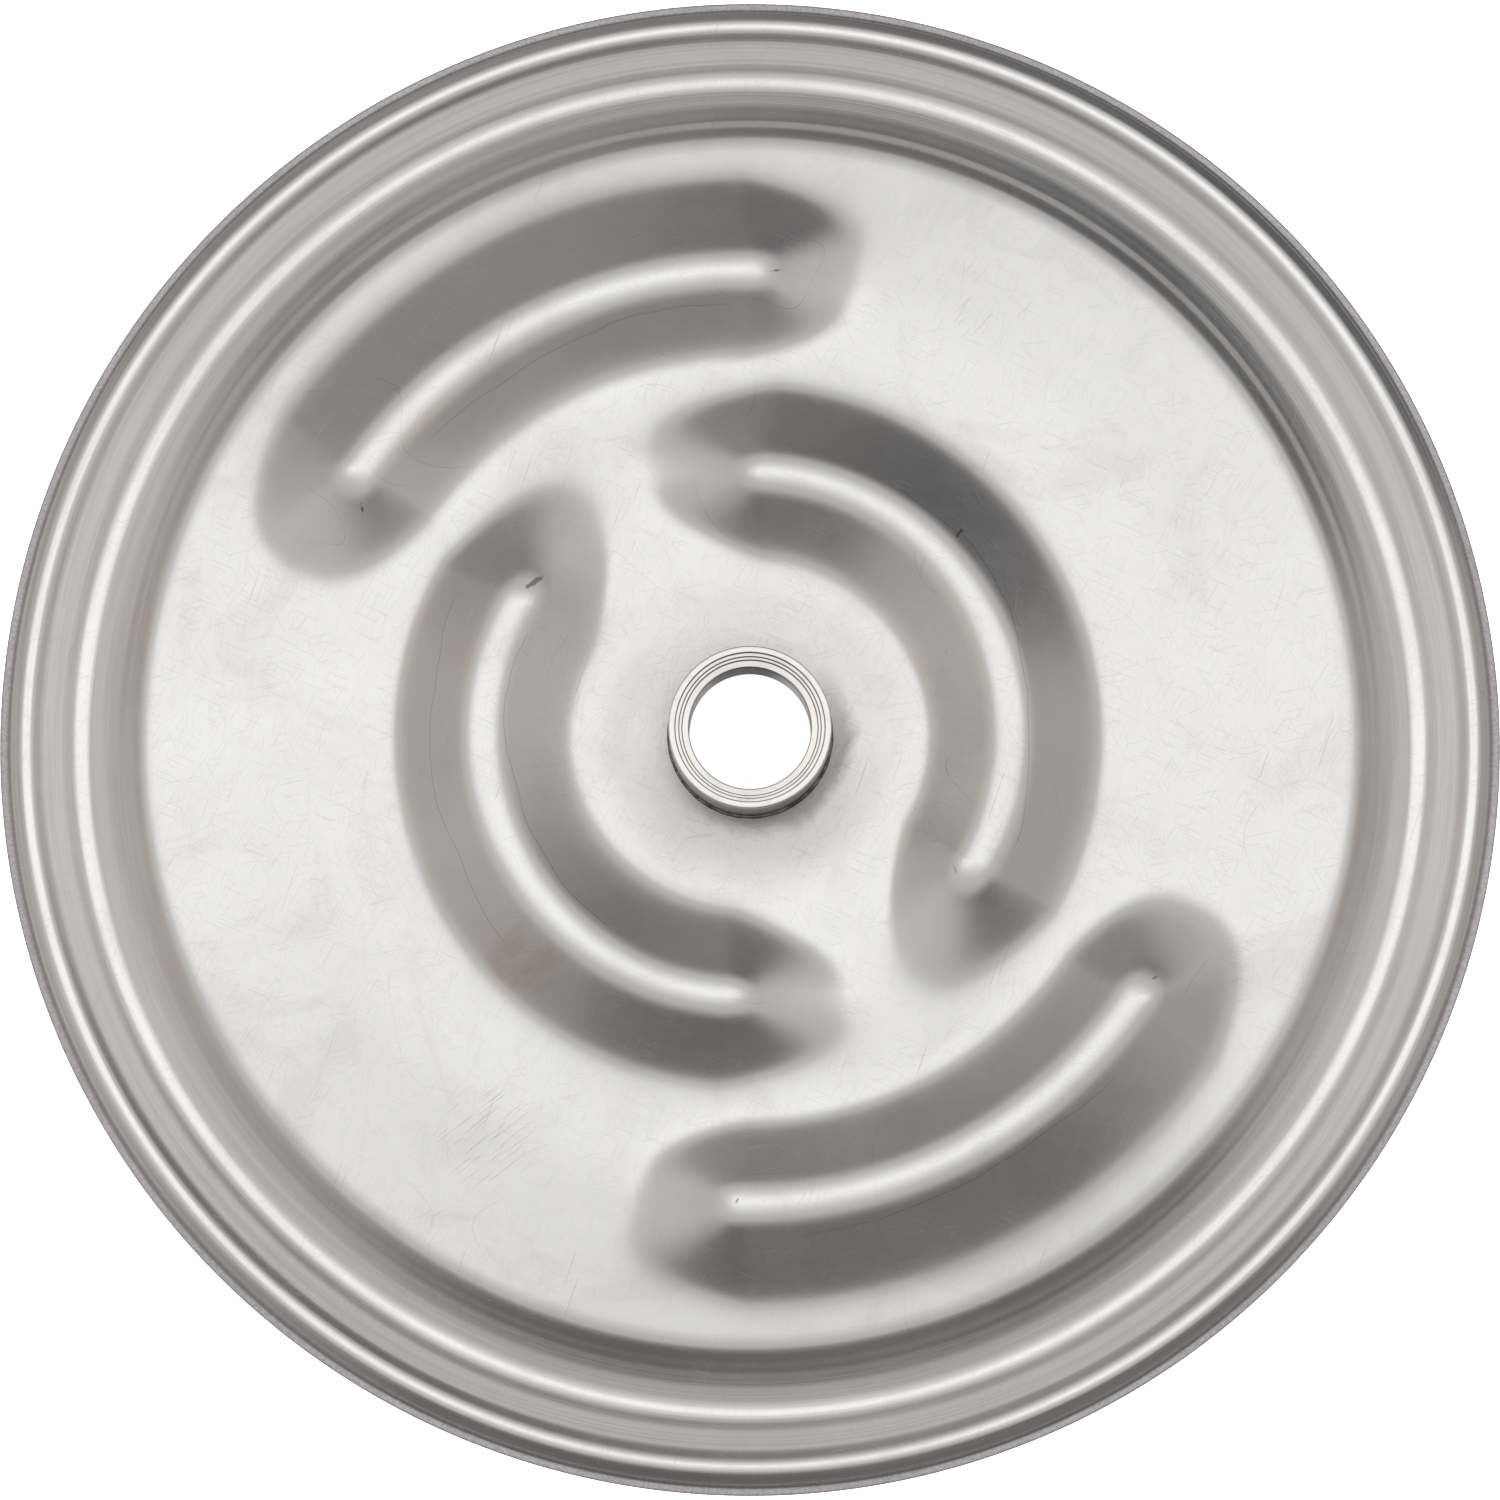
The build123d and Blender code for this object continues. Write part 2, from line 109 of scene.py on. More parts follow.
def ring_faces(rows, columns, closed_rows):
    """Quads of a grid whose columns go round and whose rows go along a section."""
    faces = []
    last = rows if closed_rows else rows - 1
    for i in range(last):
        a = i * columns
        b = (i + 1) % rows * columns
        for j in range(columns):
            k = (j + 1) % columns
            faces.append((a + j, b + j, b + k, a + k))
    return faces


def lathe(name, outline, material, columns, sharp_angle):
    """Closed solid of revolution about the spin axis; outline is a closed loop of (r, z) in mm."""
    angles = np.arange(columns) / columns * TURN
    outline = np.asarray(outline, float)
    verts = np.zeros((len(outline), columns, 3))
    verts[:, :, 0] = outline[:, :1] * np.cos(angles)
    verts[:, :, 1] = outline[:, :1] * np.sin(angles)
    verts[:, :, 2] = outline[:, 1:]
    area = np.sum(outline[:, 0] * np.roll(outline[:, 1], -1) - np.roll(outline[:, 0], -1) * outline[:, 1])
    faces = ring_faces(len(outline), columns, True)
    if area > 0:
        faces = [face[::-1] for face in faces]
    piece = mesh_object(name, verts.reshape(-1, 3) * MM, faces, material)
    piece.data.set_sharp_from_angle(angle=math.radians(sharp_angle))
    return piece


# ---------------------------------------------------------------- material helpers

class Nodes:
    """Builds one procedural material; coordinates are the piece's own, in metres."""

    def __init__(self, name):
        self.material = bpy.data.materials.new(name)
        self.material.use_nodes = True
        self.tree = self.material.node_tree
        self.shader = self.tree.nodes["Principled BSDF"]
        self.place = self.tree.nodes.new("ShaderNodeTexCoord").outputs["Object"]

    def link(self, value, socket):
        if isinstance(value, (int, float, tuple)):
            socket.default_value = value
        else:
            self.tree.links.new(value, socket)

    def math(self, operation, a, b=0.0, clamp=False):
        node = self.tree.nodes.new("ShaderNodeMath")
        node.operation = operation
        node.use_clamp = clamp
        for socket, value in zip(node.inputs, (a, b)):
            self.link(value, socket)
        return node.outputs[0]

    def vector(self, operation, a, b=(0.0, 0.0, 0.0)):
        node = self.tree.nodes.new("ShaderNodeVectorMath")
        node.operation = operation
        self.link(a, node.inputs[0])
        self.link(b, node.inputs[1])
        return node.outputs["Value"] if operation in ("LENGTH", "DISTANCE") else node.outputs[0]

    def split(self, vector):
        node = self.tree.nodes.new("ShaderNodeSeparateXYZ")
        self.link(vector, node.inputs[0])
        return node.outputs

    def join(self, x, y, z):
        node = self.tree.nodes.new("ShaderNodeCombineXYZ")
        for socket, value in zip(node.inputs, (x, y, z)):
            self.link(value, socket)
        return node.outputs[0]

    def noise(self, vector, scale, detail=2.0, rough=0.5, distortion=0.0):
        node = self.tree.nodes.new("ShaderNodeTexNoise")
        self.link(vector, node.inputs["Vector"])
        node.inputs["Scale"].default_value = scale
        node.inputs["Detail"].default_value = detail
        node.inputs["Roughness"].default_value = rough
        node.inputs["Distortion"].default_value = distortion
        return node.outputs["Fac"]

    def cells(self, vector, scale, feature="F1"):
        node = self.tree.nodes.new("ShaderNodeTexVoronoi")
        node.feature = feature
        self.link(vector, node.inputs["Vector"])
        node.inputs["Scale"].default_value = scale
        return node.outputs["Distance"]

    def remap(self, value, low, high, out_low=0.0, out_high=1.0):
        """Eased step between two values."""
        node = self.tree.nodes.new("ShaderNodeMapRange")
        node.interpolation_type = "SMOOTHSTEP"
        for socket, number in zip(node.inputs, (value, low, high, out_low, out_high)):
            self.link(number, socket)
        return node.outputs["Result"]

    def mix(self, factor, a, b):
        """Colour a, or b where the factor is 1."""
        node = self.tree.nodes.new("ShaderNodeMix")
        node.data_type = "RGBA"
        self.link(factor, node.inputs["Factor"])
        for socket, value in ((node.inputs[6], a), (node.inputs[7], b)):
            if isinstance(value, tuple):
                value = (*value, 1.0)
            self.link(value, socket)
        return node.outputs[2]

    def bump(self, height, strength, distance, below=None):
        node = self.tree.nodes.new("ShaderNodeBump")
        node.inputs["Strength"].default_value = strength
        node.inputs["Distance"].default_value = distance
        self.link(height, node.inputs["Height"])
        if below is not None:
            self.tree.links.new(below, node.inputs["Normal"])
        return node.outputs["Normal"]

    def set(self, **values):
        for name, value in values.items():
            if name == "base_color" and isinstance(value, tuple):
                value = (*value, 1.0)
            self.link(value, self.shader.inputs[name.replace("_", " ").title()])
        return self.material

    def polar(self):
        """Distance from the spin axis, angle about it, and height."""
        x, y, z = self.split(self.place)
        radius = self.math("SQRT", self.math("ADD", self.math("MULTIPLY", x, x), self.math("MULTIPLY", y, y)))
        return radius, self.math("ARCTAN2", y, x), z

    def rings(self, scale, detail):
        """Fine turned or brushed marks that run round the axis."""
        radius, angle, z = self.polar()
        waver = 0.0035
        around = self.join(radius, self.math("MULTIPLY", self.math("SINE", angle), waver), z)
        return self.noise(around, scale, detail, 0.65)

    def hairlines(self, degrees, thin, length, share, offset):
        """Straight fine scratches in one direction: 1 on a scratch, 0 elsewhere."""
        turn = self.tree.nodes.new("ShaderNodeMapping")
        turn.vector_type = "TEXTURE"
        turn.inputs["Location"].default_value = (offset, offset * 1.7, 0)
        turn.inputs["Rotation"].default_value = (0, 0, math.radians(degrees))
        turn.inputs["Scale"].default_value = (length, thin, 1.0)
        self.link(self.place, turn.inputs["Vector"])
        return self.remap(self.noise(turn.outputs[0], 1.0, 1.0, 0.4), 1 - share, 1 - share + 0.04)

    def curls(self, scale, width, share, offset):
        """Thin curved hair-like marks, in patches."""
        moved = self.vector("ADD", self.place, (offset, offset, 0))
        line = self.math("ABSOLUTE", self.math("SUBTRACT", self.noise(moved, scale, 0.0), 0.5))
        patch = self.remap(self.noise(moved, scale * 0.6, 1.0), 1 - share, 1 - share + 0.05)
        return self.math("MULTIPLY", self.remap(line, width, 0.0), patch)

    def near(self, x, y, reach, fade):
        """1 within reach of a place on the head (mm), fading to 0."""
        away = self.vector("DISTANCE", self.vector("MULTIPLY", self.place, (1, 1, 0)), (x * MM, y * MM, 0.0))
        return self.remap(away, (reach + fade) * MM, reach * MM)


# ---------------------------------------------------------------- materials

# Directions of the faint overall scratches: degrees, how common, and a shift of the pattern
SCRATCH_DIRECTIONS = [
    (58, 0.30, 0.0), (-24, 0.29, 0.31), (12, 0.28, 0.77), (83, 0.29, 1.31), (-62, 0.28, 2.2),
]


def pressed_steel():
    """Satin stainless sheet: cloudy polish, ring grain on the rim, tint at the hub with painted shade on its
    near side and a painted shadow round the collar, scratches, matte lip.
    """
    n = Nodes("pressed_steel")
    radius, angle, _ = n.polar()
    cloud = n.noise(n.place, 16, 4, 0.6)
    patches = n.noise(n.vector("ADD", n.place, (3.1, 1.7, 0.0)), 38, 5, 0.62, 0.8)
    swirl = n.noise(n.join(n.math("MULTIPLY", radius, 5.0), n.math("MULTIPLY", n.math("SINE", angle), 0.05),
                           n.math("MULTIPLY", n.math("COSINE", angle), 0.05)), 24, 3, 0.6)
    grain = n.noise(n.place, 2600, 2, 0.6)
    rings = n.rings(2400, 3)
    coarse_rings = n.rings(520, 2)
    on_rim = n.remap(radius, 0.121, 0.126)
    near_hub = n.remap(radius, 0.036, 0.022)
    facing = n.split(n.tree.nodes.new("ShaderNodeTexCoord").outputs["Normal"])[2]
    steep = n.remap(facing, 0.97, 0.90)

    fine = 0.0
    for degrees, share, offset in SCRATCH_DIRECTIONS:
        lines = n.hairlines(degrees, 0.00011, 0.011, share, offset)
        fine = lines if isinstance(fine, float) else n.math("MAXIMUM", fine, lines)
    cluster = n.math("MULTIPLY", n.hairlines(46, 0.00010, 0.010, 0.27, 0.9), n.near(46, 88, 5, 9))
    second = n.math("MULTIPLY", n.hairlines(38, 0.00010, 0.012, 0.31, 1.9), n.near(-52, -80, 4, 10))
    cluster = n.math("MAXIMUM", cluster, second)
    deep = n.math("MULTIPLY", n.hairlines(71, 0.00016, 0.03, 0.235, 3.3), n.remap(patches, 0.45, 0.55))
    scratches = n.math("MAXIMUM", n.math("MAXIMUM", n.math("MULTIPLY", fine, 0.22), cluster), deep)
    curls = n.math("MAXIMUM", n.curls(34, 0.0022, 0.46, 0.23), n.curls(57, 0.0030, 0.44, 5.37))

    colour = n.mix(n.remap(cloud, 0.32, 0.68), (0.635, 0.628, 0.620), (0.695, 0.689, 0.683))
    colour = n.mix(n.math("MULTIPLY", n.remap(patches, 0.50, 0.66), 0.5), colour, (0.595, 0.588, 0.58))
    colour = n.mix(n.math("MULTIPLY", steep, 0.7), colour, (0.69, 0.642, 0.612))
    stained = n.remap(n.noise(n.vector("ADD", n.place, (7.7, 2.3, 0.0)), 30, 4, 0.6), 0.48, 0.66)
    colour = n.mix(n.math("MULTIPLY", n.math("MULTIPLY", stained, steep), 0.55), colour, (0.60, 0.54, 0.51))
    rust = n.math("MULTIPLY", n.near(-45, -46, 3, 10), n.remap(patches, 0.35, 0.6))
    colour = n.mix(n.math("MULTIPLY", n.math("MULTIPLY", rust, steep), 0.7), colour, (0.50, 0.40, 0.355))
    colour = n.mix(n.math("MULTIPLY", crease_lines(n, radius, angle), 0.4), colour, (0.36, 0.335, 0.32))
    tint_edge = n.math("ADD", radius, n.math("MULTIPLY", n.math("SUBTRACT", patches, 0.5), 0.014))
    brushed = n.math("MULTIPLY", n.remap(swirl, 0.42, 0.62), near_hub)
    colour = n.mix(n.math("MULTIPLY", brushed, 0.45), colour, (0.56, 0.525, 0.49))
    warm = n.math("MULTIPLY", n.remap(tint_edge, 0.031, 0.018), 0.5)
    colour = n.mix(warm, colour, (0.585, 0.545, 0.515))
    # Painted shade: the land beside the hub is darkened on its −y (near) side.
    below = n.remap(n.math("SINE", angle), 0.0, -0.85)
    near_side_painted_shade = n.math("MULTIPLY", n.remap(tint_edge, 0.033, 0.021), n.math("MULTIPLY", below, 0.75))
    colour = n.mix(near_side_painted_shade, colour, (0.49, 0.46, 0.44))
    # Painted shadow: a dark band on the land round the collar's foot, deepest towards the lower right.
    lower_right = n.math("COSINE", n.math("ADD", angle, 0.9))
    painted_shadow_depth = n.remap(lower_right, -0.3, 0.9, 0.15, 0.88)
    collar_foot_painted_shadow = n.math("MULTIPLY", n.remap(tint_edge, 0.0215, 0.0170), painted_shadow_depth)
    colour = n.mix(collar_foot_painted_shadow, colour, (0.26, 0.23, 0.21))
    curls = n.math("MULTIPLY", curls, n.remap(steep, 0.0, 1.0, 0.2, 0.5))
    colour = n.mix(curls, colour, (0.38, 0.365, 0.35))
    ring_shade = n.math("MULTIPLY", n.remap(coarse_rings, 0.42, 0.7), n.math("MULTIPLY", on_rim, 0.38))
    colour = n.mix(n.math("MULTIPLY", on_rim, 0.5), colour, (0.77, 0.755, 0.74))
    colour = n.mix(ring_shade, colour, (0.52, 0.505, 0.49))
    colour = n.mix(n.math("MULTIPLY", scratches, 0.30), colour, (0.42, 0.41, 0.40))
    colour = n.mix(n.math("MULTIPLY", cluster, 0.5), colour, (0.93, 0.92, 0.91))
    colour = n.mix(dark_nicks(n), colour, (0.12, 0.115, 0.115))
    lip = n.remap(radius, (rim_radius - 1.65) * MM, (rim_radius - 1.45) * MM)
    speckle = n.remap(n.noise(n.place, 1800, 3, 0.6), 0.35, 0.65)
    colour = n.mix(lip, colour, n.mix(speckle, (0.45, 0.425, 0.437), (0.57, 0.54, 0.553)))

    rough = n.remap(cloud, 0.25, 0.75, 0.19, 0.26)
    rough = n.math("ADD", rough, n.math("MULTIPLY", n.math("SUBTRACT", patches, 0.5), 0.16))
    rough = n.math("ADD", rough, n.math("MULTIPLY", n.math("SUBTRACT", rings, 0.5), 0.06))
    rough = n.math("ADD", rough, n.math("MULTIPLY", near_hub, 0.06))
    rough = n.math("ADD", rough, n.math("MULTIPLY", scratches, 0.14))
    rough = n.math("ADD", rough, n.math("MULTIPLY", lip, 0.28), clamp=True)

    normal = n.bump(grain, 0.10, 0.00004)
    normal = n.bump(n.math("MULTIPLY", rings, on_rim), 0.35, 0.00005, normal)
    normal = n.bump(n.math("MULTIPLY", scratches, -1.0), 0.5, 0.00004, normal)
    return n.set(base_color=colour, metallic=1.0, roughness=rough, normal=normal)


# Hair-thin lines along the crests' feet: radius, middle angle and half the angle in degrees
CREASES = [(56.6, 18, 42), (47.6, 195, 40), (63.5, 188, 34), (86.6, 115, 24), (99.0, 296, 22)]


def crease_lines(n, radius, angle):
    """Wandering hair-thin lines that the press left beside the crests: 1 on a line."""
    wander = n.math("MULTIPLY", n.math("SUBTRACT", n.noise(n.place, 24, 3, 0.5), 0.5), 0.009)
    bent = n.math("ADD", radius, wander)
    found = 0.0
    for ring, middle, half in CREASES:
        away = n.math("ABSOLUTE", n.math("SUBTRACT", bent, ring * MM))
        limit = math.cos(math.radians(half))
        facing = n.math("COSINE", n.math("SUBTRACT", angle, math.radians(middle)))
        along = n.remap(facing, limit, limit + 0.03)
        line = n.math("MULTIPLY", n.remap(away, 0.00017, 0.00006), along)
        found = line if isinstance(found, float) else n.math("MAXIMUM", found, line)
    return found


def dark_nicks(n):
    """Small dark press marks beside the pads' ends: 1 on a mark."""
    marks = [
        (-42.7, 29.8, 2.4, 35), (41.5, 39.8, 1.5, 60), (40.4, -27.2, 0.9, 110), (-77.0, 45.0, 1.1, 100),
        (5.4, 92.6, 1.1, 10), (-2.6, -92.5, 0.9, 60), (79.6, -48.4, 1.0, 30),
    ]
    found = 0.0
    for x, y, size, degrees in marks:
        local = n.vector("SUBTRACT", n.place, (x * MM, y * MM, 0.0))
        turn = n.tree.nodes.new("ShaderNodeMapping")
        turn.vector_type = "TEXTURE"
        turn.inputs["Rotation"].default_value = (0, 0, math.radians(degrees))
        turn.inputs["Scale"].default_value = (1.0, 0.28, 1.0)
        n.link(n.vector("MULTIPLY", local, (1, 1, 0)), turn.inputs["Vector"])
        away = n.vector("LENGTH", turn.outputs[0])
        ragged = n.math("ADD", away, n.math("MULTIPLY", n.noise(n.place, 900, 3), 0.0032))
        mark = n.remap(ragged, (size + 1.7) * MM, (size + 0.7) * MM)
        found = mark if isinstance(found, float) else n.math("MAXIMUM", found, mark)
    return n.math("MULTIPLY", found, 0.7)


MOUTH_STEPS = (14.70, 13.95, 13.35)     # radii of the steps in the collar's mouth
mouth_depth = 2.0


def turned_steel():
    """Lathe-turned steel: thin brown lines of painted shade at the steps of the collar's mouth, pits, and
    painted shade darkening what is lower and wider.
    """
    n = Nodes("turned_steel")
    radius, _, z = n.polar()
    cloud = n.noise(n.place, 70, 3)
    fine = n.noise(n.place, 2600, 2)
    stain = n.math("MULTIPLY", n.remap(n.noise(n.place, 260, 4, 0.65), 0.50, 0.68), 0.35)
    shade = n.mix(n.remap(cloud, 0.3, 0.7), (0.70, 0.675, 0.645), (0.77, 0.745, 0.715))
    shade = n.mix(stain, shade, (0.54, 0.49, 0.44))
    face = collar_top - mouth_depth
    in_mouth = n.remap(z, (face - 0.4) * MM, (face - 0.2) * MM, 0.0, 0.8)
    # Painted shade: thin dark brown lines at the radii of the mouth's steps.
    for step_radius in MOUTH_STEPS:
        away = n.math("ABSOLUTE", n.math("SUBTRACT", radius, step_radius * MM))
        line = n.math("MULTIPLY", n.remap(away, 0.00016, 0.00007), in_mouth)
        shade = n.mix(line, shade, (0.34, 0.28, 0.235))
    # Painted shade: every outside wider than the collar's rim is darkened from just under the top, fully from
    # 3 mm down.
    outside = n.remap(radius, (collar_radius - 0.15) * MM, (collar_radius - 0.05) * MM)
    outside_painted_shade = n.math("MULTIPLY", n.remap(z, (collar_top - 0.3) * MM, (collar_top - 3.0) * MM), outside)
    shade = n.mix(n.math("MULTIPLY", outside_painted_shade, 0.85), shade, (0.20, 0.18, 0.165))
    pits = n.math("MULTIPLY", n.remap(n.noise(n.place, 1500, 3, 0.6), 0.63, 0.68), n.near(16, -6, 3, 7))
    shade = n.mix(n.math("MULTIPLY", pits, 0.6), shade, (0.25, 0.23, 0.22))
    roughness = n.remap(cloud, 0.25, 0.75, 0.20, 0.28)
    return n.set(base_color=shade, metallic=1.0, roughness=roughness, normal=n.bump(fine, 0.08, 0.00002))


def weld_metal():
    """Dull brushed bead, darker in random patches; its dark colour is partly painted shade at the collar's
    foot.
    """
    n = Nodes("weld_metal")
    crust = n.noise(n.place, 1400, 4, 0.7)
    spots = n.noise(n.place, 420, 3, 0.6)
    # Dark throughout, partly as painted shade at the collar's foot; the patches vary at random.
    colour = n.mix(n.remap(spots, 0.38, 0.62), (0.13, 0.115, 0.105), (0.30, 0.275, 0.255))
    rough = n.remap(crust, 0.3, 0.7, 0.34, 0.60)
    return n.set(base_color=colour, metallic=1.0, roughness=rough, normal=n.bump(crust, 0.8, 0.00012))


def ground_steel(name, colour, rough):
    """Ground or polished bearing steel."""
    n = Nodes(name)
    film = n.noise(n.place, 180, 3)
    fine = n.noise(n.place, 3500, 2)
    shade = n.mix(n.remap(film, 0.3, 0.7), tuple(c * 0.94 for c in colour), colour)
    roughness = n.remap(film, 0.3, 0.7, rough, rough + 0.08)
    return n.set(base_color=shade, metallic=1.0, roughness=roughness, normal=n.bump(fine, 0.08, 0.00002))


def zinc_steel():
    """Zinc plating, faintly spangled."""
    n = Nodes("zinc_steel")
    spangle = n.cells(n.place, 420)
    cloud = n.noise(n.place, 90, 3)
    colour = n.mix(n.remap(cloud, 0.3, 0.7), (0.56, 0.57, 0.56), (0.66, 0.655, 0.62))
    rough = n.remap(spangle, 0.0, 0.8, 0.26, 0.42)
    return n.set(base_color=colour, metallic=1.0, roughness=rough, normal=n.bump(spangle, 0.12, 0.00004))


def blackened_steel():
    """Black oxide, worn bright in places."""
    n = Nodes("blackened_steel")
    cloud = n.noise(n.place, 150, 4, 0.6)
    grain = n.noise(n.place, 2400, 2)
    worn = n.remap(n.noise(n.place, 520, 4, 0.7), 0.66, 0.76)
    colour = n.mix(n.remap(cloud, 0.3, 0.7), (0.045, 0.046, 0.050), (0.085, 0.085, 0.088))
    colour = n.mix(n.math("MULTIPLY", worn, 0.55), colour, (0.36, 0.35, 0.33))
    rough = n.remap(cloud, 0.3, 0.7, 0.34, 0.5)
    return n.set(base_color=colour, metallic=0.85, roughness=rough, normal=n.bump(grain, 0.25, 0.00004))


def cage_brass():
    """Pressed brass of the bearing cages."""
    n = Nodes("cage_brass")
    cloud = n.noise(n.place, 120, 3)
    grain = n.noise(n.place, 2200, 2)
    colour = n.mix(n.remap(cloud, 0.3, 0.7), (0.66, 0.45, 0.18), (0.78, 0.57, 0.27))
    rough = n.remap(cloud, 0.3, 0.7, 0.22, 0.36)
    return n.set(base_color=colour, metallic=1.0, roughness=rough, normal=n.bump(grain, 0.2, 0.00003))


def housing_aluminium():
    """Turned aluminium with close tool marks."""
    n = Nodes("housing_aluminium")
    marks = n.rings(2100, 2)
    cloud = n.noise(n.place, 45, 4, 0.6)
    colour = n.mix(n.remap(cloud, 0.3, 0.7), (0.60, 0.605, 0.61), (0.70, 0.705, 0.71))
    rough = n.remap(cloud, 0.3, 0.7, 0.28, 0.40)
    return n.set(base_color=colour, metallic=1.0, roughness=rough, normal=n.bump(marks, 0.45, 0.00005))


def painted_casting():
    """Hammered grey enamel over a cast surface."""
    n = Nodes("painted_casting")
    sideways = n.join(n.noise(n.place, 130, 2), 0.0, 0.0)
    bent = n.vector("ADD", n.place, n.vector("MULTIPLY", sideways, (0.004, 0, 0)))
    dimples = n.cells(bent, 430, "SMOOTH_F1")
    sand = n.noise(n.place, 1200, 3, 0.6)
    cloud = n.noise(n.place, 20, 4, 0.6)
    colour = n.mix(n.remap(dimples, 0.1, 0.7), (0.092, 0.099, 0.107), (0.122, 0.131, 0.140))
    colour = n.mix(n.math("MULTIPLY", n.remap(cloud, 0.4, 0.75), 0.35), colour, (0.05, 0.055, 0.06))
    rough = n.remap(cloud, 0.3, 0.7, 0.30, 0.44)
    normal = n.bump(dimples, 0.55, 0.00035)
    normal = n.bump(sand, 0.18, 0.00008, normal)
    return n.set(
        base_color=colour, metallic=0.25, roughness=rough, normal=normal,
        coat_weight=0.35, coat_roughness=0.16,
    )


def rubber(name, colour):
    """Dark rubber, a little dusty."""
    n = Nodes(name)
    skin = n.noise(n.place, 1500, 3, 0.6)
    dust = n.noise(n.place, 70, 4, 0.65)
    shade = n.mix(n.math("MULTIPLY", n.remap(dust, 0.5, 0.8), 0.4), colour, tuple(c * 2.6 for c in colour))
    rough = n.remap(dust, 0.3, 0.7, 0.55, 0.72)
    return n.set(base_color=shade, roughness=rough, normal=n.bump(skin, 0.35, 0.00008))


# ---------------------------------------------------------------- wheel head

# The pressing's top outline, rise above the lip over distance from the axis, with bend radii
HEAD_CORNERS = [
    ((0, land_rise), 0),
    ((38.0, land_rise), 150),
    ((90.0, 9.6), 300),
    ((121.7, 7.6), 8),
    ((125.3, 4.3), 5),
    ((128.4, 2.87), 14),
    ((133.7, 1.1), 5.5),
    ((137.0, 2.75), 9),
    ((141.3, 4.4), 6),
    ((146.4, 7.5), 3.3),
    ((148.3, 0.2), 0.6),
    ((rim_radius, 0.2), 0),
]
# Pads: middle radius, crest above the lip, half the crest's angle, how square the ends are,
# and how drawn out the foot of each end is
INNER_PAD = {"radius": 52.2, "crest": 18.5, "half_span": 57, "square": 2.2, "drawn": 0.42}
OUTER_PAD = {"radius": 92.9, "crest": 17.4, "half_span": 27.5, "square": 2.5, "drawn": 0.5}
# Each pad's middle angle, and its walls' slopes towards the hub and the rim
PADS = [
    {**INNER_PAD, "middle": 27.5, "slopes": (29, 28.5)},
    {**INNER_PAD, "middle": 207.5, "slopes": (26.5, 30)},
    {**OUTER_PAD, "middle": 117.75, "slopes": (27.6, 28.5)},
    {**OUTER_PAD, "middle": 297.75, "slopes": (28.5, 28.5)},
]
pad_shift = -0.7        # the pads were pressed a little off the middle of the rim
end_extra_slope = math.radians(6)   # the pads' ends are steeper than their sides
crest_round = 10.5      # radius across a crest
end_length = 7.0        # how far past the end of a crest line its end starts to spread out
pad_root = 1.1          # softness of the bend at a pad's foot


def crest_fall(distance, slope):
    """How far a pad has dropped at this distance from its crest line: an arc, then a straight wall."""
    bend = crest_round * np.sin(slope)
    arc = crest_round - np.sqrt(crest_round ** 2 - np.minimum(distance, bend) ** 2)
    return arc + np.tan(slope) * np.maximum(distance - bend, 0)


def pad_rise(x, y, pad):
    """Height of a pad's form above the lip; far from the pad it lies deep below the sheet."""
    x = x - pad_shift
    radius = np.hypot(x, y)
    away = np.arctan2(y, x) - math.radians(pad["middle"])
    away = np.abs((away + math.pi) % TURN - math.pi) - math.radians(pad["half_span"])
    past = np.clip(away, 0, math.pi / 2)
    along = radius * np.sin(past)
    offset = radius * np.cos(past) - pad["radius"]
    across = np.abs(offset)
    endward = np.where(away > 0, along / np.maximum(np.hypot(along, across), 1e-6), 0)
    steep_part = end_length * (1 - np.exp(-along / end_length))
    along = pad["drawn"] * along + (1 - pad["drawn"]) * steep_part
    p = pad["square"]
    distance = (along ** p + across ** p) ** (1 / p)
    distance = np.where(away > 0, distance, across)
    inward = np.clip(-offset / np.maximum(distance, 1e-6), -1, 1)
    inner_slope, outer_slope = (math.radians(degrees) for degrees in pad["slopes"])
    middle_slope = (inner_slope + outer_slope) / 2
    slope = middle_slope + (inner_slope - middle_slope) * inward + end_extra_slope * endward
    return pad["crest"] - crest_fall(distance, slope)


def head_rise(x, y, outline):
    """Top surface of the pressing above the lip."""
    radius = np.hypot(x, y)
    rise = np.interp(radius, outline[:, 0], outline[:, 1])
    for pad in PADS:
        form = pad_rise(x, y, pad)
        rise = (rise + form + np.sqrt((rise - form) ** 2 + pad_root ** 2)) / 2
    return rise


def spaced(stops):
    """Distances from the axis: (from, to, step) for each stretch."""
    values = [stops[0][0]]
    for start, end, step in stops:
        count = max(1, round((end - start) / step))
        values += [start + (end - start) * k / count for k in range(1, count + 1)]
    return np.array(values)


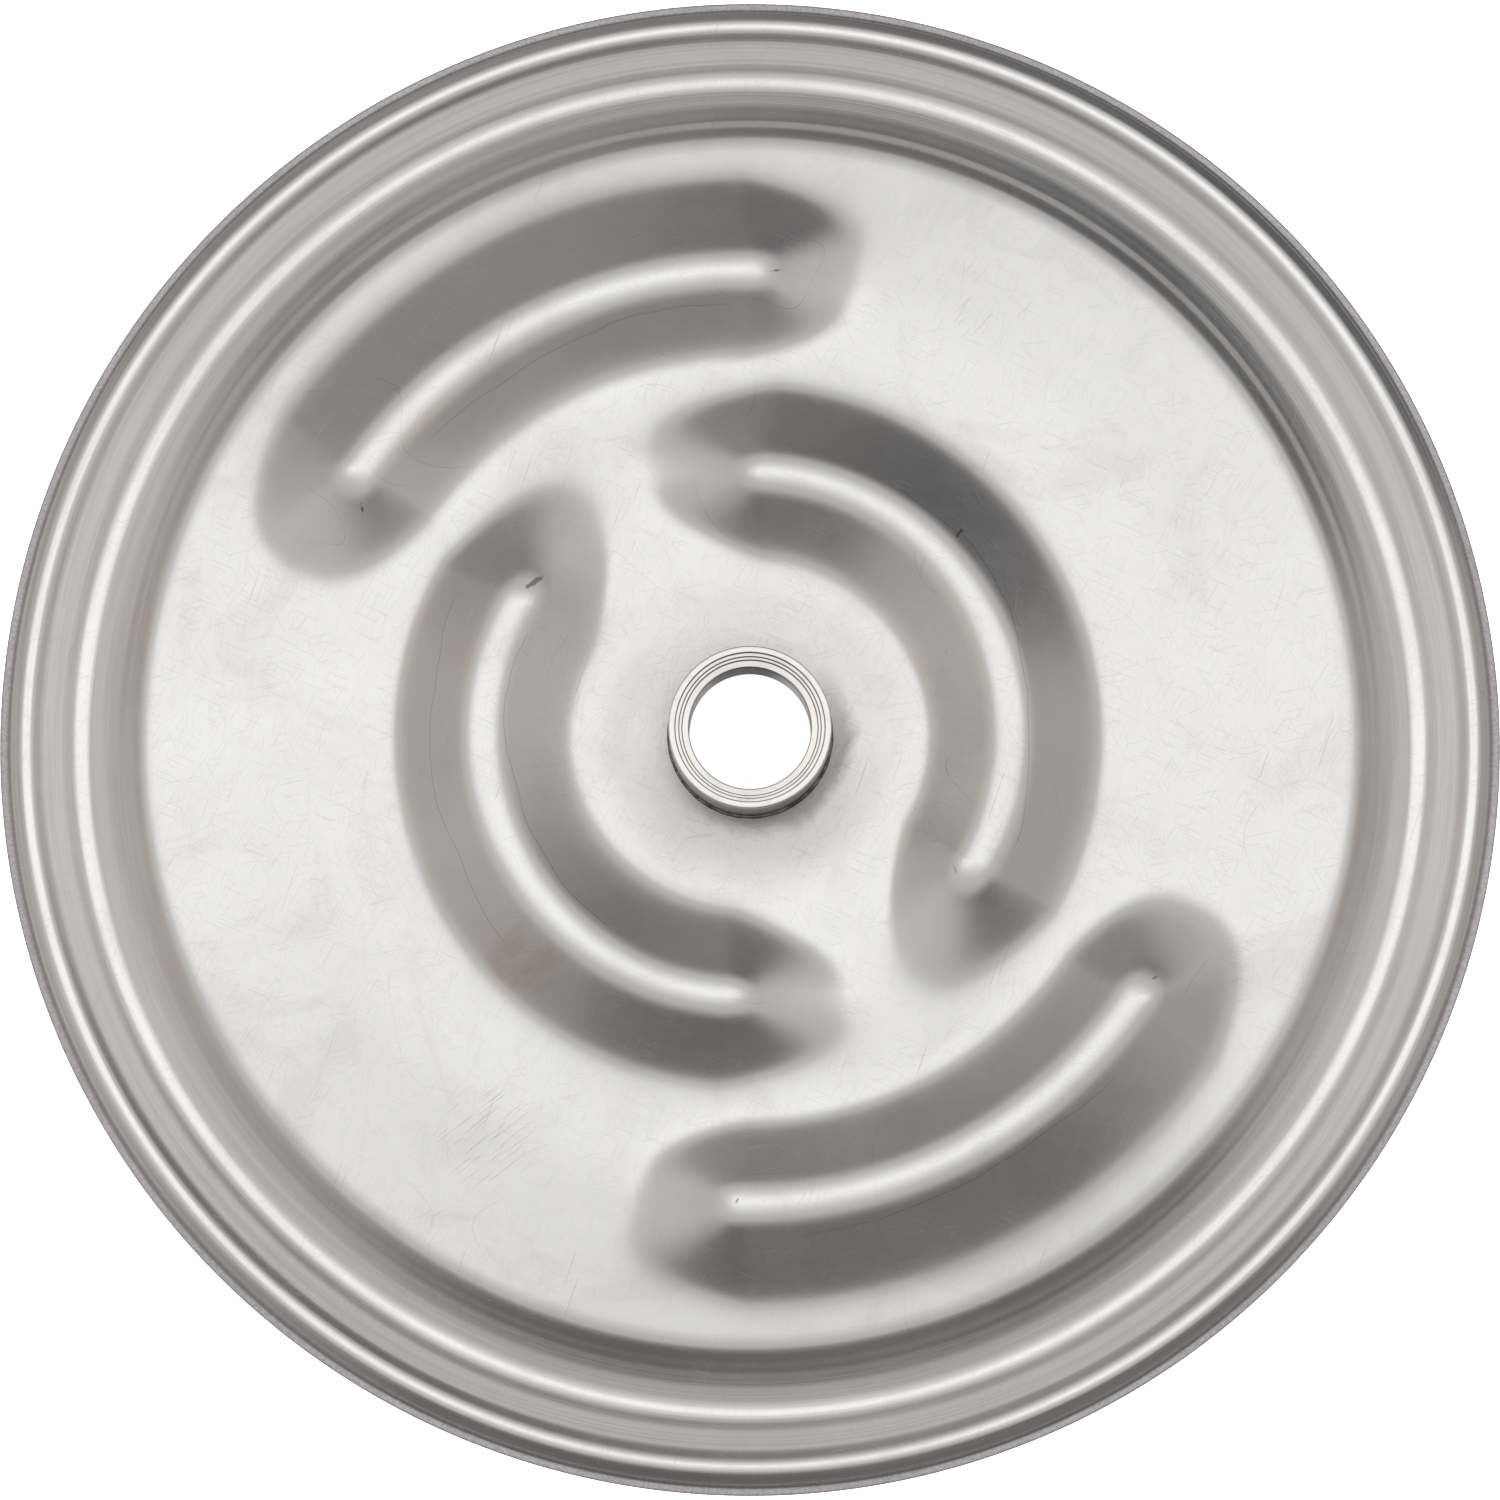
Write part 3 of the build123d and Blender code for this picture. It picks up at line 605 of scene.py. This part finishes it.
def make_head_disc(material):
    """The pressed sheet: its top surface, the trimmed edge, and the same surface one sheet lower."""
    outline = rounded(HEAD_CORNERS, 12)
    columns = 720
    edge_bevel = 0.15
    pads_from, pads_to, wall_from = 34, 114, 121
    radii = spaced([
        (collar_radius, pads_from, 2.0),
        (pads_from, pads_to, 0.9),
        (pads_to, wall_from, 1.4),
        (wall_from, rim_radius - edge_bevel, 0.3),
    ])
    angles = np.arange(columns) / columns * TURN
    x = radii[:, None] * np.cos(angles)
    y = radii[:, None] * np.sin(angles)
    top = np.stack([x, y, head_rise(x, y, outline) + lip_z], -1)
    step = 0.05
    slope_x = (head_rise(x + step, y, outline) - head_rise(x - step, y, outline)) / (2 * step)
    slope_y = (head_rise(x, y + step, outline) - head_rise(x, y - step, outline)) / (2 * step)
    inward = np.stack([slope_x, slope_y, -np.ones_like(slope_x)], -1)
    inward /= np.linalg.norm(inward, axis=-1, keepdims=True)
    inward[0] = (0, 0, -1)
    inward[-1] = (0, 0, -1)
    under = (top + sheet * inward)[::-1]
    edge = []
    for drop in (edge_bevel, sheet - edge_bevel):
        row = top[-1].copy()
        row[:, :2] *= rim_radius / (rim_radius - edge_bevel)
        row[:, 2] -= drop
        edge.append(row)
    rows = np.concatenate([top, np.array(edge), under])
    faces = ring_faces(len(rows), columns, True)
    piece = mesh_object("head_disc_pressed", rows.reshape(-1, 3) * MM, faces, material)
    piece.data.set_sharp_from_angle(angle=math.radians(50))
    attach(piece, "wheel_head")
    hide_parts("head_disc")


def make_hub_collar(material):
    """Turned collar: stepped mouth with small bevels, bore and counterbore."""
    counterbore_radius = 14.6
    face = collar_top - mouth_depth
    seat = face - bore_length
    lean = 0.05     # half the width of a step's slanting wall
    first, second, third = MOUTH_STEPS
    first_ledge, second_ledge = collar_top - 0.75, collar_top - 1.3
    corners = [
        ((counterbore_radius, seat), 0),
        ((counterbore_radius, collar_bottom), 0.2),
        ((collar_radius, collar_bottom), 0.3),
        ((collar_radius, collar_top), 0.25),
        ((first + lean, collar_top), 0.12),
        ((first - lean, first_ledge), 0.06),
        ((second + lean, first_ledge), 0.1),
        ((second - lean, second_ledge), 0.06),
        ((third + lean, second_ledge), 0.1),
        ((third - lean, face), 0.08),
        ((bore_radius, face), 0.25),
        ((bore_radius, seat), 0),
        ((counterbore_radius, seat), 0),
    ]
    outline = rounded(corners, 4)[:-1]
    piece = lathe("hub_collar_turned", outline, material, 288, 24)
    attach(piece, "wheel_head")
    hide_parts("hub_collar")


def make_hub_weld(material):
    """Thin bead with close ripples, fuller towards the lower right."""
    rng = np.random.default_rng(7)
    columns, rows = 900, 12
    ripple_count = 118
    largest = 0.55 * weld_leg
    angles = np.arange(columns) / columns * TURN
    wander = sum(rng.normal() * np.sin(k * angles + rng.uniform(0, TURN)) for k in range(9, 40))
    wander = wander / np.abs(wander).max()
    ripple = (angles / TURN * ripple_count + 0.35 * wander) % 1.0
    size = 0.72 + 0.09 * wander + 0.11 * np.cos(angles + math.radians(60)) + 0.07 * (1 - ripple) ** 1.5
    size = np.clip(size, 0.45, 0.99) * largest
    base = np.full(columns, lip_z + land_rise)
    section = []
    for i in range(rows):
        a = i / (rows - 1) * math.pi / 2
        out = collar_radius + size * math.cos(a) ** 0.9 * (i < rows - 1)
        up = base + size * math.sin(a) ** 0.9
        section.append(np.stack([out * np.cos(angles), out * np.sin(angles), up], -1))
    section.append(np.stack([collar_radius * np.cos(angles), collar_radius * np.sin(angles), base], -1))
    verts = np.array(section).reshape(-1, 3) * MM
    piece = mesh_object("hub_weld_bead", verts, ring_faces(rows + 1, columns, True), material)
    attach(piece, "wheel_head")
    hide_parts("hub_weld")


# ---------------------------------------------------------------- assembling

def paint_cad_nodes(materials):
    """Every CAD node takes the procedural material of its slot."""
    for entry in frame["record"]["subparts"]:
        node = frame["nodes"][entry["node"]]
        node.data.materials.clear()
        node.data.materials.append(materials[entry["material_slot"]])


materials = {
    "pressed_steel": pressed_steel(),
    "turned_steel": turned_steel(),
    "weld_metal": weld_metal(),
    "bearing_steel": ground_steel("bearing_steel", (0.62, 0.62, 0.63), 0.14),
    "polished_balls": ground_steel("polished_balls", (0.72, 0.72, 0.73), 0.05),
    "zinc_steel": zinc_steel(),
    "blackened_steel": blackened_steel(),
    "cage_brass": cage_brass(),
    "housing_aluminium": housing_aluminium(),
    "painted_casting": painted_casting(),
    "seal_rubber": rubber("seal_rubber", (0.022, 0.022, 0.024)),
    "foot_rubber": rubber("foot_rubber", (0.028, 0.028, 0.028)),
}
paint_cad_nodes(materials)
make_head_disc(materials["pressed_steel"])
make_hub_collar(materials["turned_steel"])
make_hub_weld(materials["weld_metal"])


# ---------------------------------------------------------------- floor, light, camera

def make_floor():
    """White round floor that curves up into a backdrop; sizes in metres."""
    outline = rounded([((0.0, 0.0), 0), ((3.4, 0.0), 1.2), ((3.6, 3.0), 0)], 12)
    columns = 64
    angles = np.arange(columns) / columns * TURN
    radii = outline[:, 0] + 1e-4
    rows = np.stack([
        np.outer(radii, np.cos(angles)),
        np.outer(radii, np.sin(angles)),
        np.repeat(outline[:, 1:], columns, 1),
    ], -1)
    n = Nodes("floor_white")
    n.set(base_color=(0.86, 0.86, 0.86), roughness=0.75, emission_strength=1.0)
    n.shader.inputs["Emission Color"].default_value = (1, 1, 1, 1)
    faces = ring_faces(len(rows), columns, False)
    floor = mesh_object("floor", rows.reshape(-1, 3), faces, n.material)
    floor.visible_glossy = False


# The studio's panels low down round the object: compass angle, brightness, warmth
PANELS = [
    (0, 0.47, 0.03), (19, 0.43, 0.03), (30, 0.19, -0.05), (60, 0.165, -0.06), (88, 0.22, 0.02),
    (108, 0.31, 0.04), (135, 0.33, 0.04), (148, 0.46, 0.04), (180, 0.51, 0.03), (205, 0.50, 0.03),
    (229, 0.36, 0.03), (240, 0.18, 0.02), (270, 0.16, 0.03), (300, 0.20, 0.03), (321, 0.22, 0.03),
    (330, 0.43, 0.03), (360, 0.47, 0.03),
]


def make_world():
    """Studio around the object: one large soft light overhead, and grey panels and gaps round it."""
    world = bpy.data.worlds.new("studio")
    bpy.context.scene.world = world
    world.use_nodes = True
    n = Nodes.__new__(Nodes)
    n.tree = world.node_tree
    n.place = n.tree.nodes.new("ShaderNodeTexCoord").outputs["Generated"]
    x, y, z = n.split(n.place)
    share = n.math("FRACT", n.math("ADD", n.math("DIVIDE", n.math("ARCTAN2", y, x), TURN), 1.0))
    ramp = n.tree.nodes.new("ShaderNodeValToRGB")
    stops = ramp.color_ramp.elements
    for index, (degrees, value, warmth) in enumerate(PANELS):
        if index in (0, len(PANELS) - 1):
            stop = stops[min(index, len(stops) - 1)]
        else:
            stop = stops.new(degrees / 360)
        stop.position = degrees / 360
        stop.color = (value * (1 + warmth), value, value * (1 - warmth), 1)
    n.link(share, ramp.inputs[0])
    over_y = n.math("MULTIPLY", n.math("SUBTRACT", y, n.math("MULTIPLY", z, 0.12)), 1.35)
    across = n.math("SQRT", n.math("ADD", n.math("MULTIPLY", x, x), n.math("MULTIPLY", over_y, over_y)))
    lean = n.math("DEGREES", n.math("ARCTAN2", across, z))
    uneven = n.remap(n.noise(n.place, 2.6, 3, 0.6), 0.3, 0.7, 0.84, 1.14)
    panels = n.vector("MULTIPLY", ramp.outputs[0], n.join(uneven, uneven, uneven))
    colour = n.mix(n.remap(lean, 64.0, 42.0), panels, (0.69, 0.675, 0.655))
    to_side = n.math("DIVIDE", n.math("ABSOLUTE", over_y), n.math("MAXIMUM", z, 0.05))
    top = n.remap(to_side, 0.03, 0.42, 1.38, 0.96)
    colour = n.mix(n.remap(lean, 38.0, 20.0), colour, n.join(top, top, top))
    background = n.tree.nodes["Background"]
    n.link(colour, background.inputs["Color"])
    background.inputs["Strength"].default_value = 1.0


def make_camera():
    """Almost straight above, tilted towards the user's side, the head filling the frame."""
    tilt = math.radians(5.8)
    distance = 1.3
    radius = rim_radius * MM
    # Perspective makes the near half larger, so the aim is a little towards it
    aim = Vector((0, -radius ** 2 * math.sin(tilt) / distance, lip_z * MM))
    back = Vector((0, -math.sin(tilt), math.cos(tilt)))
    data = bpy.data.cameras.new("camera")
    data.sensor_width = 36
    data.lens = data.sensor_width * distance / (2 * radius)
    data.clip_start, data.clip_end = 0.05, 20
    camera = bpy.data.objects.new("camera", data)
    camera.location = aim + back * distance
    camera.rotation_mode = "QUATERNION"
    camera.rotation_quaternion = (-back).to_track_quat("-Z", "Y")
    bpy.context.scene.collection.objects.link(camera)
    bpy.context.scene.camera = camera


make_floor()
make_world()
make_camera()
bpy.context.scene.view_settings.view_transform = "Standard"
